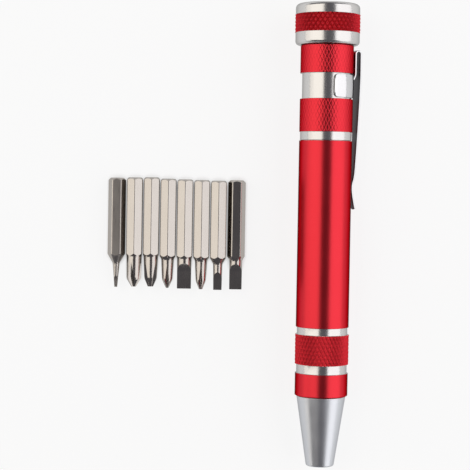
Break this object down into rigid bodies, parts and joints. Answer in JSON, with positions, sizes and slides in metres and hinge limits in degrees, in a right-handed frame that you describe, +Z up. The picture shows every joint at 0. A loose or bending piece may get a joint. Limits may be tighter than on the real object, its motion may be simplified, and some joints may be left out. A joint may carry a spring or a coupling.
{
  "type": "multi-bit screwdriver",
  "caption": "Pen-style precision screwdriver with a spinning cap, a screw-off tail, a pocket clip and loose slotted and cross hex bits.",
  "frame": {"origin": "middle of the whole set's footprint, on the surface it lies on", "axes": "+Y along the driver from nose to cap, +Z up from the surface, the row of bits on the -X side of the driver"},
  "size_m": [0.064, 0.117, 0.0165],
  "materials": {
    "red_anodised": "satin red anodised, bare where turned back",
    "bare_aluminium": "fine turned",
    "polished_steel": "polished",
    "spring_steel": "smooth drawn",
    "magnet": "nickel plated",
    "nickel_plate": "nickel plated, ground tips"
  },
  "bodies": {
    "driver": {"barrel": "red_anodised", "nose_cone": "bare_aluminium", "bit_socket": "spring_steel", "socket_magnet": "magnet"},
    "thrust_ball": {"thrust_ball": "polished_steel"},
    "tail": {"tail_sleeve": "red_anodised", "clip_band": "polished_steel", "cap_retaining_ring": "spring_steel"},
    "spin_cap": {"spin_cap": "red_anodised"},
    "clip_arm": {"clip_arm": "polished_steel"},
    "bit_needle": {"bit_needle": "nickel_plate"},
    "bit_cross_large": {"bit_cross_large": "nickel_plate"},
    "bit_cross_medium": {"bit_cross_medium": "nickel_plate"},
    "bit_cross_small": {"bit_cross_small": "nickel_plate"},
    "bit_slot_wide": {"bit_slot_wide": "nickel_plate"},
    "bit_cross_fine": {"bit_cross_fine": "nickel_plate"},
    "bit_slot_narrow": {"bit_slot_narrow": "nickel_plate"},
    "bit_slot_medium": {"bit_slot_medium": "nickel_plate"}
  },
  "joints": [
    {"name": "tail_travel", "type": "slide", "parent": "driver", "child": "thrust_ball", "axis": [0, 0.9999, 0.0166], "range_m": [0, 0.00601]},
    {"name": "tail_unscrew", "type": "hinge", "parent": "thrust_ball", "child": "tail", "pos_m": [0.02321, 0.02411, 0.00777], "axis": [0, 0.9999, 0.0166], "range_deg": [0, 2160]},
    {"name": "cap_spin", "type": "hinge", "parent": "tail", "child": "spin_cap", "pos_m": [0.02321, 0.05011, 0.0082], "axis": [0, 0.9999, 0.0166], "continuous": true},
    {"name": "clip_flex", "type": "hinge", "parent": "tail", "child": "clip_arm", "pos_m": [0.03062, 0.04615, 0.00573], "axis": [0.309, -0.0158, 0.9509], "range_deg": [0, 5], "stiffness_Nm_per_rad": 1, "springref_deg": -1.15},
    {"name": "needle_lift", "type": "slide", "parent": "driver", "child": "bit_needle", "axis": [0, 0, 1], "range_m": [0, 0.03]},
    {"name": "cross_large_lift", "type": "slide", "parent": "driver", "child": "bit_cross_large", "axis": [0, 0, 1], "range_m": [0, 0.03]},
    {"name": "cross_medium_lift", "type": "slide", "parent": "driver", "child": "bit_cross_medium", "axis": [0, 0, 1], "range_m": [0, 0.03]},
    {"name": "cross_small_lift", "type": "slide", "parent": "driver", "child": "bit_cross_small", "axis": [0, 0, 1], "range_m": [0, 0.03]},
    {"name": "slot_wide_lift", "type": "slide", "parent": "driver", "child": "bit_slot_wide", "axis": [0, 0, 1], "range_m": [0, 0.03]},
    {"name": "cross_fine_lift", "type": "slide", "parent": "driver", "child": "bit_cross_fine", "axis": [0, 0, 1], "range_m": [0, 0.03]},
    {"name": "slot_narrow_lift", "type": "slide", "parent": "driver", "child": "bit_slot_narrow", "axis": [0, 0, 1], "range_m": [0, 0.03]},
    {"name": "slot_medium_lift", "type": "slide", "parent": "driver", "child": "bit_slot_medium", "axis": [0, 0, 1], "range_m": [0, 0.03]}
  ],
  "couplings": [
    {"joint": "tail_travel", "follows": "tail_unscrew", "m_per_rad": 0.00015915}
  ]
}
